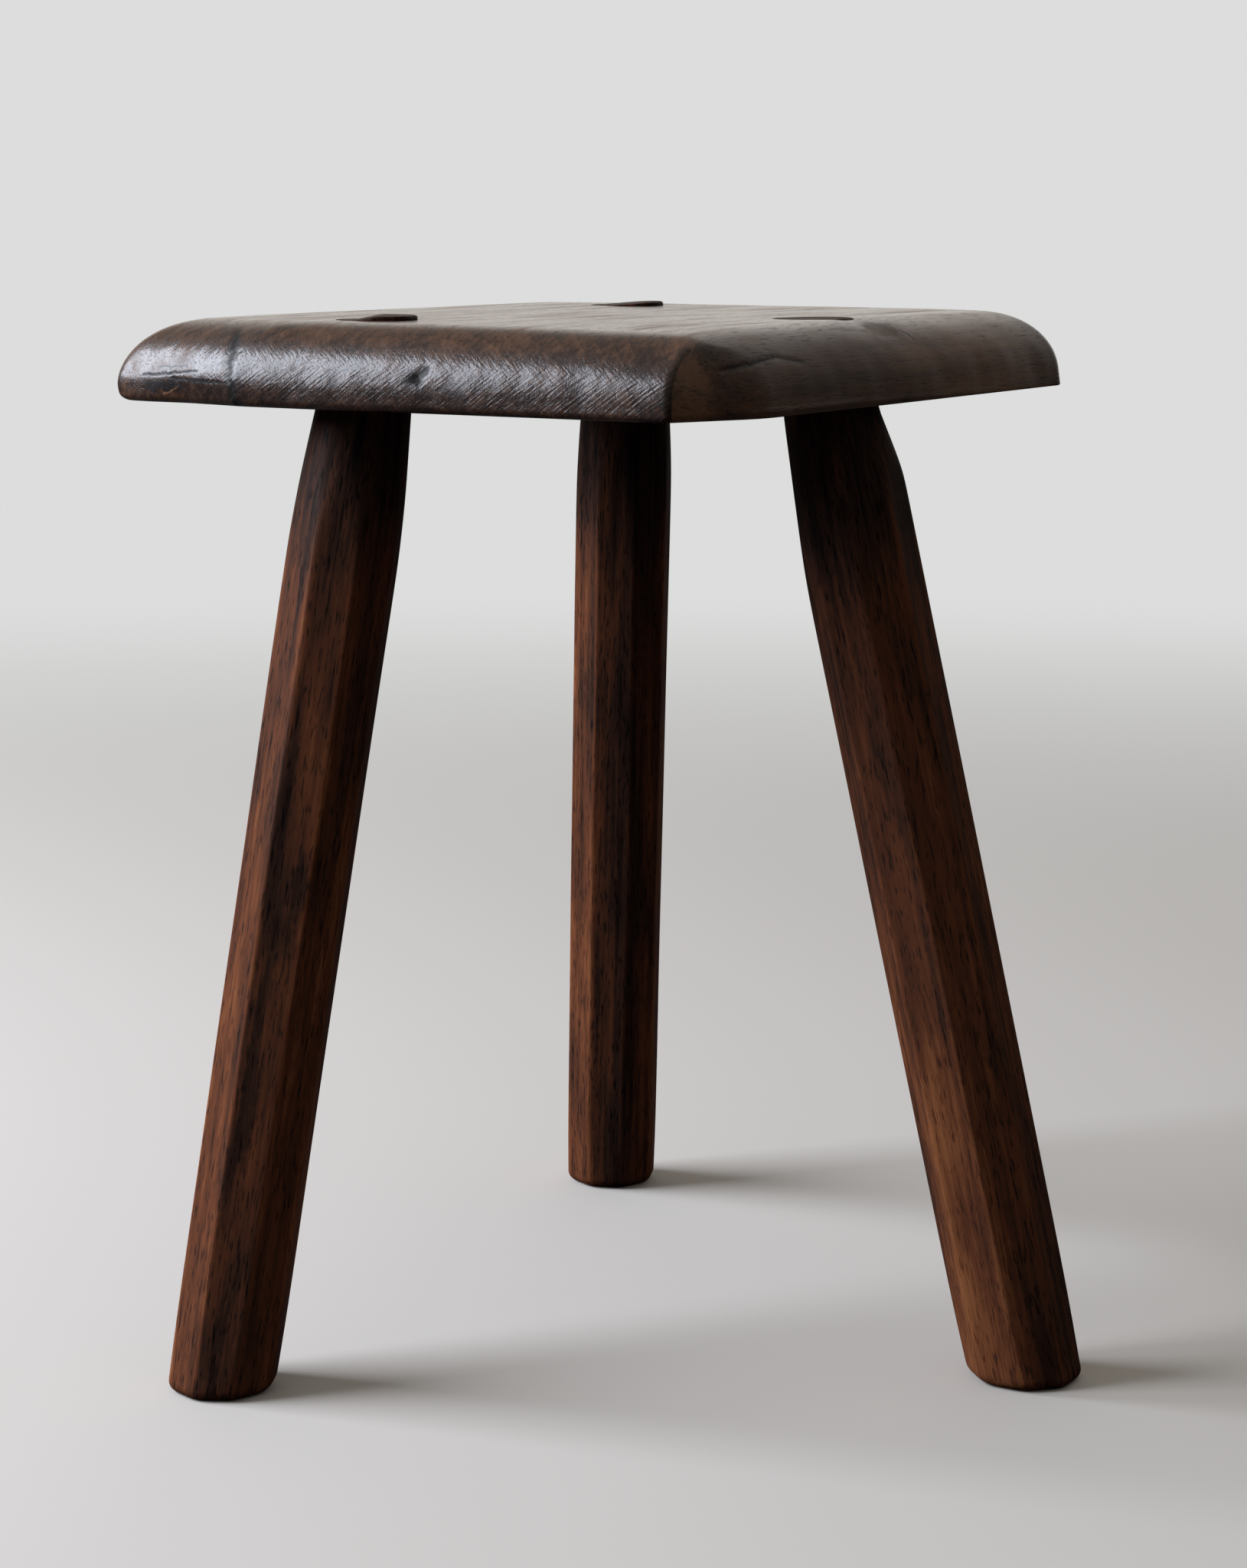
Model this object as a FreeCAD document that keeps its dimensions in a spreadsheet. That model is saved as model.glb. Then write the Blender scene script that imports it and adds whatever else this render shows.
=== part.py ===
import FreeCAD, Part
import os
import Sketcher

# Tripod stool: a one-plank seat on three octagonal legs.
# Each leg ends in a shaved taper that runs right through the seat and is locked by a wedge
# driven into a saw cut in its end. All sizes are in millimetres and degrees, +Z is up and
# the floor is Z = 0. X runs along the front side of the seat, Y along its grain.

DIMENSIONS = [
    # Seat plank
    ("seat_height", 330.0),
    ("seat_thickness", 25.5),
    ("seat_right_x", 79.45),
    ("seat_front_y", -121.09),
    ("seat_width", 221.34),
    ("seat_depth", 243.9),
    # Hand-cut departures from a rectangle: the near corner that was sawn off upright, the
    # front side that falls back towards its left end, and the left side that leans in towards
    # the rear; the outline is the underside's, and all sides slope in from it
    ("near_clip_x", 13.65),
    ("near_clip_y", 29.6),
    ("left_sweep_x", 54.7),
    ("left_sweep_y", 11.0),
    ("rear_left_inset", 9.1),
    ("side_slope", 6.0),
    ("top_roundover", 22.0),
    ("corner_ease", 5.0),
    ("lower_ease", 2.0),
    # Where each leg's axis comes out of the seat top, measured in from the seat's sides
    ("left_from_left", 80.24),
    ("left_from_front", 42.5),
    ("rear_from_left", 75.24),
    ("rear_from_rear", 42.4),
    ("right_from_right", 31.5),
    ("right_from_front", 120.6),
    # How far each leg leans and which way, how its flats are turned, its size across flats
    # at seat and floor, the slope of its shaved shoulder, and how far its end stands above
    # the seat
    ("left_lean", 10.44),
    ("left_heading", -114.9),
    ("left_twist", 26.5),
    ("left_head_flats", 33.9),
    ("left_foot_flats", 33.1),
    ("left_shoulder", 4.6),
    ("left_proud", 1.5),
    ("rear_lean", 11.39),
    ("rear_heading", 126.0),
    ("rear_twist", 21.8),
    ("rear_head_flats", 32.6),
    ("rear_foot_flats", 32.2),
    ("rear_shoulder", 4.6),
    ("rear_proud", 1.2),
    ("right_lean", 13.13),
    ("right_heading", 3.6),
    ("right_twist", 0.4),
    ("right_head_flats", 34.9),
    ("right_foot_flats", 34.5),
    ("right_shoulder", 9.0),
    ("right_proud", 0.4),
    ("foot_ease", 4.0),
    # Shaved leg ends and their tapered mortises: the diameter is the mortise's at the seat top,
    # and the ease keeps the leaning ends from lying over the rims of their mortises
    ("tenon_diameter", 25.0),
    ("tenon_taper", 4.57),
    ("tenon_ease", 0.8),
    ("joint_gap", 0.1),
    # Wedges, set across the grain of the seat
    ("wedge_thickness", 3.2),
    ("wedge_tip", 1.0),
    ("wedge_length", 21.0),
    ("kerf_gap", 0.05),
]

# The seat's sides, as formulas of the sheet's values
RIGHT = "dims.seat_right_x"
LEFT = "(dims.seat_right_x - dims.seat_width)"
FRONT = "dims.seat_front_y"
REAR = "(dims.seat_front_y + dims.seat_depth)"
UNDERSIDE = "(dims.seat_height - dims.seat_thickness)"

LEG_PLACES = {
    "left": (f"{LEFT} + dims.left_from_left", f"{FRONT} + dims.left_from_front"),
    "rear": (f"{LEFT} + dims.rear_from_left", f"{REAR} - dims.rear_from_rear"),
    "right": (f"{RIGHT} - dims.right_from_right", f"{FRONT} + dims.right_from_front"),
}

# Rough blanks run past their saw cuts by one thickness of the seat
SPARE = "dims.seat_thickness"
CUT_REACH = "(dims.seat_height + dims.seat_width + dims.seat_depth)"

# Where the shoulder starts below the seat top, as a multiple of the seat's thickness, so that
# the whole rim of a slanted mortise lies above it
SHOULDER_DROP = 1.3

OCTAGON_SIDES = 8
TOUCH = 0.001

doc = FreeCAD.newDocument("tripod_stool")
dims = doc.addObject("Spreadsheet::Sheet", "dims")
for row, (alias, number) in enumerate(DIMENSIONS, start=1):
    dims.set(f"A{row}", alias)
    dims.set(f"B{row}", str(number))
    dims.setAlias(f"B{row}", alias)
doc.recompute()


def value(formula):
    """The number that a formula of sheet values gives now."""
    return float(dims.evalExpression(formula))


def origin_plane(body, role):
    """One of a body's own origin planes, by its role."""
    return next(plane for plane in body.Origin.OriginFeatures if plane.Role == role)


def polygon(body, name, role, corners, level="0"):
    """Closed sketch on an origin plane, raised by level, with each corner bound to two formulas."""
    sketch = body.newObject("Sketcher::SketchObject", name)
    sketch.AttachmentSupport = [(origin_plane(body, role), "")]
    sketch.MapMode = "FlatFace"
    sketch.setExpression("AttachmentOffset.Base.z", level)
    points = [FreeCAD.Vector(value(across), value(along), 0) for across, along in corners]
    count = len(points)
    for i in range(count):
        sketch.addGeometry(Part.LineSegment(points[i], points[(i + 1) % count]), False)
    for i in range(count):
        sketch.addConstraint(Sketcher.Constraint("Coincident", i, 2, (i + 1) % count, 1))
        across = Sketcher.Constraint("DistanceX", -1, 1, i, 1, points[i].x)
        sketch.setExpression(f"Constraints[{sketch.addConstraint(across)}]", corners[i][0])
        along = Sketcher.Constraint("DistanceY", -1, 1, i, 1, points[i].y)
        sketch.setExpression(f"Constraints[{sketch.addConstraint(along)}]", corners[i][1])
    doc.recompute()
    return sketch


def lean_placement(leg):
    """Formula for a frame on the seat top at a leg's axis, with its Z along the leg."""
    along_x, along_y = LEG_PLACES[leg]
    base = f"vector({along_x}; {along_y}; dims.seat_height)"
    hinge = f"vector(sin(dims.{leg}_heading); -cos(dims.{leg}_heading); 0)"
    return f"placement({base}; rotation({hinge}; dims.{leg}_lean))"


def edges_at(shape, level):
    """Numbers, from 1, of the edges that lie flat at one height."""
    found = []
    for number, edge in enumerate(shape.Edges, start=1):
        if abs(edge.BoundBox.ZMin - level) < TOUCH and abs(edge.BoundBox.ZMax - level) < TOUCH:
            found.append(number)
    return found


def rims_at(shape, level):
    """Numbers, from 1, of the curved edges that lie flat at one height."""
    flat = edges_at(shape, level)
    return [number for number in flat if shape.Edges[number - 1].Curve.TypeId != "Part::GeomLine"]


def edges_rising_from(shape, level):
    """Numbers, from 1, of the edges that start at one height and rise from it."""
    found = []
    for number, edge in enumerate(shape.Edges, start=1):
        if abs(edge.BoundBox.ZMin - level) < TOUCH and edge.BoundBox.ZLength > TOUCH:
            found.append(number)
    return found


def round_edges(body, name, numbers, radius):
    """Rounds numbered edges of a body's last feature to a radius from the sheet."""
    base = body.Tip
    fillet = body.newObject("PartDesign::Fillet", name)
    fillet.Base = (base, [f"Edge{number}" for number in numbers])
    fillet.setExpression("Radius", radius)
    doc.recompute()


def make_plank():
    """The seat board: sloping sides, rounded over on top, corners eased, the near corner sawn off."""
    body = doc.addObject("PartDesign::Body", "plank")
    corners = [
        (LEFT, f"{FRONT} + dims.left_sweep_y"),
        (f"{LEFT} + dims.left_sweep_x", FRONT),
        (RIGHT, FRONT),
        (RIGHT, REAR),
        (f"{LEFT} + dims.rear_left_inset", REAR),
    ]
    board = body.newObject("PartDesign::Pad", "board")
    board.Profile = polygon(body, "seat_outline", "XY_Plane", corners, UNDERSIDE)
    board.setExpression("Length", "dims.seat_thickness")
    body.Tip = board
    doc.recompute()
    # The sides turn in about their lower edges
    faces = list(enumerate(board.Shape.Faces, start=1))
    sides = [f"Face{number}" for number, face in faces if face.BoundBox.ZLength > TOUCH]
    lowest = [f"Face{number}" for number, face in faces if face.BoundBox.ZMax < value(UNDERSIDE) + TOUCH]
    sloped = body.newObject("PartDesign::Draft", "sloped")
    sloped.Base = (board, sides)
    sloped.NeutralPlane = (board, lowest)
    sloped.setExpression("Angle", "dims.side_slope")
    body.Tip = sloped
    doc.recompute()
    # Each side is rounded over along its length, so the roundovers meet in mitres; the
    # mitres and the corners below them are then eased as one line
    round_edges(body, "roundover", edges_at(sloped.Shape, value("dims.seat_height")), "dims.top_roundover")
    round_edges(body, "corners", edges_rising_from(body.Tip.Shape, value(UNDERSIDE)), "dims.corner_ease")
    # The near corner comes off last, by an upright saw cut along a line through both sides
    eased = body.Tip.Shape.Volume
    waste = [
        (f"{RIGHT} - 2 * dims.near_clip_x", f"{FRONT} - dims.near_clip_y"),
        (f"{RIGHT} + dims.near_clip_x", f"{FRONT} - dims.near_clip_y"),
        (f"{RIGHT} + dims.near_clip_x", f"{FRONT} + 2 * dims.near_clip_y"),
    ]
    clip = body.newObject("PartDesign::Pocket", "near_clip")
    clip.Profile = polygon(body, "near_clip_waste", "XY_Plane", waste, "dims.seat_height")
    clip.Type = "ThroughAll"
    body.Tip = clip
    doc.recompute()
    if not clip.Shape.Volume < eased:
        raise RuntimeError("the near corner was not sawn off")
    round_edges(body, "arris", edges_at(body.Tip.Shape, value(UNDERSIDE)), "dims.lower_ease")
    return body


def make_taper(name, leg, gap):
    """A cone along a leg's axis, from below the seat to above it: the shaved taper less a gap."""
    cone = doc.addObject("Part::Cone", name)
    below = f"(dims.seat_thickness + {SPARE})"
    half = f"(dims.tenon_diameter / 2 - {gap})"
    cone.setExpression("Radius1", f"{half} + {below} * tan(dims.tenon_taper)")
    cone.setExpression("Radius2", f"{half} - {SPARE} * tan(dims.tenon_taper)")
    cone.setExpression("Height", f"{below} + {SPARE}")
    lowered = f"placement(vector(0; 0; -{below}); rotation(0; 0; 0))"
    cone.setExpression("Placement", f"{lean_placement(leg)} * {lowered}")
    return cone


def make_blank(leg):
    """A leg before it is trimmed: a tapered octagon whose head is shaved to a cone."""
    body = doc.addObject("PartDesign::Body", f"{leg}_blank")
    foot_level = f"-dims.seat_height / cos(dims.{leg}_lean) - {SPARE}"
    profiles = []
    for end, level in (("foot", foot_level), ("head", SPARE)):
        radius = f"dims.{leg}_{end}_flats / 2 / cos(180 / {OCTAGON_SIDES})"
        corners = []
        for side in range(OCTAGON_SIDES):
            angle = f"(dims.{leg}_twist + {(side + 0.5) * 360 / OCTAGON_SIDES})"
            corners.append((f"{radius} * cos({angle})", f"{radius} * sin({angle})"))
        profiles.append(polygon(body, f"{leg}_{end}_octagon", "XY_Plane", corners, level))
    shaft = body.newObject("PartDesign::AdditiveLoft", f"{leg}_shaft")
    shaft.Profile = profiles[0]
    shaft.Sections = [profiles[1]]
    shaft.Ruled = True
    doc.recompute()
    full = shaft.Shape.Volume
    # The waste outside the cone, turned round the axis: from above the head, down the taper
    # that fits the mortise to just below the seat, then out along the shoulder past the
    # corners of the octagon
    top = f"2 * {SPARE}"
    neck = f"(-{SHOULDER_DROP} * dims.seat_thickness)"
    tenon = "(dims.tenon_diameter / 2 - dims.joint_gap)"
    outer = f"dims.{leg}_head_flats"
    neck_radius = f"({tenon} - {neck} * tan(dims.tenon_taper))"
    run_out = f"{neck} - ({outer} - {neck_radius}) / tan(dims.{leg}_shoulder)"
    waste = [
        (f"{tenon} - {top} * tan(dims.tenon_taper)", top),
        (neck_radius, neck),
        (outer, run_out),
        (outer, top),
    ]
    shaving = body.newObject("PartDesign::Groove", f"{leg}_shaving")
    profile = polygon(body, f"{leg}_shaving_waste", "XZ_Plane", waste)
    shaving.Profile = profile
    shaving.ReferenceAxis = (profile, ["V_Axis"])
    shaving.Angle = 360
    body.Tip = shaving
    body.setExpression("Placement", lean_placement(leg))
    doc.recompute()
    if not shaving.Shape.Volume < full:
        raise RuntimeError(f"the head of the {leg} leg was not shaved")
    return body


def make_slab(name, low, high):
    """A wide level slab between two heights, for a saw cut."""
    slab = doc.addObject("Part::Box", name)
    slab.setExpression("Length", CUT_REACH)
    slab.setExpression("Width", CUT_REACH)
    slab.setExpression("Height", f"({high}) - ({low})")
    slab.setExpression("Placement.Base.x", f"-{CUT_REACH} / 2")
    slab.setExpression("Placement.Base.y", f"-{CUT_REACH} / 2")
    slab.setExpression("Placement.Base.z", low)
    return slab


def make_wedge_blank(name, leg, gap):
    """A wedge that tapers down the leg's axis and runs across the grain, larger by a gap all round."""
    body = doc.addObject("PartDesign::Body", name)
    top = SPARE
    bottom = f"(-dims.wedge_length - {gap})"
    slope = "(dims.wedge_thickness - dims.wedge_tip) / 2 / dims.wedge_length"
    tip = f"dims.wedge_tip / 2 + {gap}"
    upper = f"{tip} + ({top} + dims.wedge_length) * {slope}"
    corners = [(f"-({tip})", bottom), (tip, bottom), (upper, top), (f"-({upper})", top)]
    sketch = polygon(body, f"{name}_side", "YZ_Plane", corners)
    pad = body.newObject("PartDesign::Pad", f"{name}_pad")
    pad.Profile = sketch
    pad.Midplane = True
    pad.setExpression("Length", "2 * dims.tenon_diameter")
    body.setExpression("Placement", lean_placement(leg))
    return body


def cut(name, base, tools):
    """A base less one or more tools."""
    for number, tool in enumerate(tools, start=1):
        step = doc.addObject("Part::Cut", name if number == len(tools) else f"{name}_cut_{number}")
        step.Base = base
        step.Tool = tool
        base = step
    doc.recompute()
    return base


def ease(name, base, numbers, radius):
    """A sawn piece with its numbered edges rounded to a radius from the sheet."""
    size = value(radius)
    eased = doc.addObject("Part::Fillet", name)
    eased.Base = base
    eased.Edges = [(number, size, size) for number in numbers]
    doc.recompute()
    return eased


def make_leg(leg, sawn, trimmed):
    """A leg with its foot and its tenon's rim eased, kerfed for its wedge."""
    footed = ease(f"{leg}_footed", sawn, edges_at(sawn.Shape, 0.0), "dims.foot_ease")
    kerf = make_wedge_blank(f"{leg}_kerf", leg, "dims.kerf_gap")
    split = cut(f"{leg}_split", footed, [kerf])
    return ease(f"leg_{leg}", split, rims_at(split.Shape, value(trimmed)), "dims.tenon_ease")


def make_wedge(leg, sawn, trimmed):
    """The wedge, its ends and top shaped with the tenon that it locks."""
    driven = doc.addObject("Part::Common", f"{leg}_driven")
    driven.Base = make_wedge_blank(f"{leg}_wedge_blank", leg, "0")
    driven.Tool = sawn
    doc.recompute()
    return ease(f"wedge_{leg}", driven, rims_at(driven.Shape, value(trimmed)), "dims.tenon_ease")


floor_waste = make_slab("floor_waste", f"-4 * {SPARE}", "0")
nodes = {"seat": cut("seat", make_plank(), [make_taper(f"{leg}_mortise", leg, "0") for leg in LEG_PLACES])}
for leg in LEG_PLACES:
    trimmed = f"dims.seat_height + dims.{leg}_proud"
    trim_waste = make_slab(f"{leg}_trim", trimmed, f"{trimmed} + 4 * {SPARE}")
    sawn = cut(f"{leg}_sawn", make_blank(leg), [floor_waste, trim_waste])
    nodes[f"leg_{leg}"] = make_leg(leg, sawn, trimmed)
    nodes[f"wedge_{leg}"] = make_wedge(leg, sawn, trimmed)
doc.recompute()

for item in doc.Objects:
    if "Invalid" in item.State or "Error" in item.State:
        raise RuntimeError(f"{item.Name} did not build: {item.State}")
for name, item in nodes.items():
    item.Label = name
    if item.Shape.isNull() or not item.Shape.isValid() or len(item.Shape.Solids) != 1:
        raise RuntimeError(f"{name} is not one valid solid")

os.makedirs("parts", exist_ok=True)
for name, item in nodes.items():
    item.Shape.exportStep(f"parts/{name}.step")
    print(name, round(item.Shape.Volume), item.Shape.BoundBox)
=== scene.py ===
import math

import bpy
import numpy as np
from mathutils import Matrix, Vector


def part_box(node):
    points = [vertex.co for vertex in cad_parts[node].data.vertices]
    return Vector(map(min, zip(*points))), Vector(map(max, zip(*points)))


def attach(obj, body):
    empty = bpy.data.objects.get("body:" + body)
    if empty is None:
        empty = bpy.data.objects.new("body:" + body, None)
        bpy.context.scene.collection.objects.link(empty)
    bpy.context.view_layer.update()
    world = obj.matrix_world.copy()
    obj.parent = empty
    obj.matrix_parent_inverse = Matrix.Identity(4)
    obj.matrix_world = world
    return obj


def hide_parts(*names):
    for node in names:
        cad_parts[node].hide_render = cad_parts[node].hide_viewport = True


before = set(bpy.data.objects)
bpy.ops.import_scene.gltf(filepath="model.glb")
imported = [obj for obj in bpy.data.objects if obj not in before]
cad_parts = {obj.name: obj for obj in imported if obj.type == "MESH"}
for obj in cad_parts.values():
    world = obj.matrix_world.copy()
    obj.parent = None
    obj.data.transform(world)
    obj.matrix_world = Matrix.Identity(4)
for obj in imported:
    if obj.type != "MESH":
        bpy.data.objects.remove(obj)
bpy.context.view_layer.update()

# Tripod stool of dark stained wood: a one-plank seat, three octagonal legs whose shaved ends
# run through it, and a wedge across each end. Lengths are in millimetres and are turned to metres
# once, where a mesh or the camera is made. Only the lamp's are in metres.

MM = 0.001
# Edges that bend by more than this are shaded hard
HARD_EDGE = math.radians(38)

# The seat's sides lean in from the underside's outline, and the eased lower arris stands a little
# inside that outline, by the flare. Along the right and rear sides the arris is crisper
SIDE_SLOPE = math.radians(6.0)
LOWER_EASE, CRISP_EASE = 2.0, 0.6
FLARE = LOWER_EASE * (math.tan(SIDE_SLOPE) + 1 / math.cos(SIDE_SLOPE) - 1)
SEAT_WIDTH = 221.34
seat_low, seat_high = (np.array(corner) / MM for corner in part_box("seat"))
SEAT_FRONT, SEAT_UNDER = seat_low[1] - FLARE, seat_low[2]
SEAT_RIGHT, SEAT_REAR, SEAT_TOP = seat_high + (FLARE, FLARE, 0.0)
SEAT_LEFT = SEAT_RIGHT - SEAT_WIDTH

# Hand-cut departures of the seat from a rectangle. The sides are, in turn, the front side's swept
# end, the front, the sawn-off near corner, the right, the rear and the left
NEAR_CLIP_X, NEAR_CLIP_Y = 13.65, 29.6
LEFT_SWEEP_X, LEFT_SWEEP_Y = 54.7, 11.0
REAR_LEFT_INSET = 9.1
TOP_ROUNDOVER = 22.0
ROUNDOVER_REACH = np.array([24.0, 22.0, 22.0, 21.0, 22.0, 24.0])
CORNER_EASES = np.array([6.0, 8.0, 3.0, 40.0, 5.0, 5.0])
NEAR_SIDE, RIGHT_SIDE, REAR_SIDE = 2, 3, 4

# Wear on the seat: how far the near corner's face leans in at its top, the crack's line along the
# right side and its widths, the crease's line down the front and its widths, the pits in the front as
# x, z and depth, and the rough hollow in the right side's roundover as x, y and its reach along each
NEAR_WORN = 6.0
CRACK_Y, CRACK_Z = (-101.7, -90.0, -74.6, -57.4), (318.6, 320.0, 321.4, 319.2)
CRACK_WIDTH = (0.7, 0.9, 0.8, 0.5)
CREASE_Z, CREASE_X = (306.1, 314.0, 320.7, 324.0, 327.7), (-86.4, -88.2, -89.5, -91.2, -94.2)
CREASE_WIDTH_Z, CREASE_WIDTH = (306, 314, 321, 326), (1.3, 1.3, 2.3, 1.7)
PITS = ((-20.4, 314.4, 0.5), (-17.8, 316.8, 0.3))
PIT_REACH_X, PIT_REACH_Z = 2.6, 2.0
HOLLOW_X, HOLLOW_Y, HOLLOW_REACH_X, HOLLOW_REACH_Y = 69, 7, 7, 13

# Each leg: where its axis comes out of the seat top, its lean and heading, how its flats are
# turned, its size across flats at head and foot, how far its end stands above the seat, the slope
# of its shoulder as shaved on the camera's left and right, and how its end was trimmed: the height
# that is left on the camera's right, and the shares of its radius between which that dies away
LEGS = {
    "left": dict(
        at=(-61.65, -78.59), lean=10.44, heading=-114.9, twist=26.5, head=33.9, foot=33.1,
        proud=1.5, shoulder=(4.6, 4.6), end=(1.2, -0.65, 0.15),
    ),
    "rear": dict(
        at=(-66.65, 80.41), lean=11.39, heading=126.0, twist=21.8, head=32.6, foot=32.2,
        proud=1.2, shoulder=(4.6, 4.6), end=(1.2, -1.0, 1.0),
    ),
    "right": dict(
        at=(47.95, -0.49), lean=13.13, heading=3.6, twist=0.4, head=34.9, foot=34.5,
        proud=0.4, shoulder=(4.0, 10.0), end=(0.1, -1.0, 1.0),
    ),
}
FLATS = 8
FLAT_POINTS, LEG_ROWS = 24, 170
# How crisp the arrises are, and how much softer they wear up to a height above the floor
CRISP_ARRIS, ARRIS_WEAR, WORN_HEIGHT = 70, 54, 50
# Lengths of the drawknife's waves along a flat
DRAW_LONG, DRAW_SHORT = 47, 19
FOOT_EASE = 4.0
TENON_RADIUS = 12.5
TENON_SLOPE = math.tan(math.radians(4.57))
TENON_EASE = 0.8
JOINT_GAP = 0.1
# Below the seat top: where the cone ends and the shoulder begins
NECK = 33.15
# Where a trimmed end dies away it lies a little below the seat top
FLUSH = -0.2
WEDGE_THICKNESS, WEDGE_TIP, WEDGE_LENGTH, KERF_GAP = 3.2, 1.0, 21.0, 0.05

# Camera at the photo's place: yaw is the turn from +Y towards -X, pitch is downwards
CAMERA_AT = (570.05, -992.69, 369.84)
YAW, PITCH, LENS = math.radians(30.743), math.radians(9.45), 82.25

# The wood's figure: each width in mm, and the scale along the grain that draws it out. Real fibres
# and pores are a few tenths of a millimetre wide, too fine to show, so they are drawn coarser
GRAIN = {"blot": (8, 0.16), "fibre": (1.8, 0.035), "pore": (0.65, 0.11)}
# Relief in mm: sunk pores, raised fibres, and the file's scratches as width, depth reach and length,
# with the rasp's teeth at an even spacing
PORE_DEPTH, FIBRE_HEIGHT, TOOTH_HEIGHT, TOOTH_SPACING = 0.02, 0.05, 0.024, 2.0
SCRATCH = (0.7, 3, 8)
FINISH_IOR = 1.5
# One period of a wave texture in its own units
WAVE_PERIOD = 0.314
MATH, VECTOR, RANGE = "ShaderNodeMath", "ShaderNodeVectorMath", "ShaderNodeMapRange"
NOISE, WAVE, PAINTED = "ShaderNodeTexNoise", "ShaderNodeTexWave", "ShaderNodeAttribute"


def linear(colour):
    """An sRGB hex colour as linear red, green, blue and alpha."""
    channels = [int(colour[i:i + 2], 16) / 255 for i in (1, 3, 5)]
    return tuple(c / 12.92 if c <= 0.04045 else ((c + 0.055) / 1.055) ** 2.4 for c in channels) + (1.0,)


def smooth(low, high, x):
    """0 below low, 1 above high, and an even S between."""
    t = np.clip((x - low) / (high - low), 0.0, 1.0)
    return t * t * (3.0 - 2.0 * t)


def ripple(across, along, spans, seed):
    """Hand-tool unevenness from -1 to 1: for each pair of wavelengths, a sine across times one along,
    each shifted by the seed, and the mean of these products."""
    total = np.zeros(np.broadcast(across, along).shape)
    for number, (wide, long) in enumerate(spans):
        turn = seed * 1.7 + number * 2.3
        sideways = np.sin(2 * np.pi * across / wide + turn)
        total = total + sideways * np.sin(2 * np.pi * along / long + turn * 1.9)
    return total / len(spans)


def closed_piece(name, rings, first, last, attributes):
    """A closed mesh from rings of points (rows, columns, xyz) in mm and a point at each end: every cell
    between two rings is two triangles, and a fan closes each end. The attributes hold one value for
    each ring point, and an end takes its neighbour's."""
    rows, columns = rings.shape[:2]
    points = [np.reshape(first, (1, 3)), rings.reshape(-1, 3), np.reshape(last, (1, 3))]
    points = np.concatenate(points) * MM
    index = np.arange(rows * columns).reshape(rows, columns) + 1
    after = np.roll(index, -1, axis=1)
    halves = ((index[:-1], after[:-1], after[1:]), (index[:-1], after[1:], index[1:]))
    walls = [np.stack(half, axis=-1).reshape(-1, 3) for half in halves]
    end = rows * columns + 1
    start_fan = np.stack([np.zeros(columns, int), after[0], index[0]], axis=-1)
    end_fan = np.stack([index[-1], after[-1], np.full(columns, end)], axis=-1)
    mesh = bpy.data.meshes.new(name)
    mesh.from_pydata(points.tolist(), [], np.concatenate([start_fan, *walls, end_fan]).tolist())
    for label, values in attributes.items():
        inside = np.broadcast_to(values, (rows, columns)).reshape(-1)
        ends = (inside[0], inside[-1])
        layer = mesh.attributes.new(label, "FLOAT", "POINT")
        layer.data.foreach_set("value", np.concatenate([ends[:1], inside, ends[1:]]).astype(np.float32))
    mesh.polygons.foreach_set("use_smooth", np.ones(len(mesh.polygons), bool))
    piece = bpy.data.objects.new(name, mesh)
    bpy.context.scene.collection.objects.link(piece)
    return piece


def carve(piece, cutters, operation="DIFFERENCE"):
    """Applies cutters to a piece with exact booleans, then removes them and marks hard edges."""
    for cutter in cutters:
        step = piece.modifiers.new("carve", "BOOLEAN")
        step.operation = operation
        step.solver = "EXACT"
        step.object = cutter
    shape = piece.evaluated_get(bpy.context.evaluated_depsgraph_get())
    carved = bpy.data.meshes.new_from_object(shape)
    carved.name = piece.name
    piece.modifiers.clear()
    piece.data = carved
    for cutter in cutters:
        bpy.data.objects.remove(cutter)
    carved.set_sharp_from_angle(angle=HARD_EDGE)


def leg_frame(leg):
    """A leg's own frame in mm: its base on the seat top, a matrix whose columns are its axes, and the
    same turn as angles."""
    heading = math.radians(leg["heading"])
    hinge = Vector((math.sin(heading), -math.cos(heading), 0.0))
    turn = Matrix.Rotation(math.radians(leg["lean"]), 3, hinge)
    return np.array([*leg["at"], SEAT_TOP]), np.array(turn), turn.to_euler()


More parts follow.
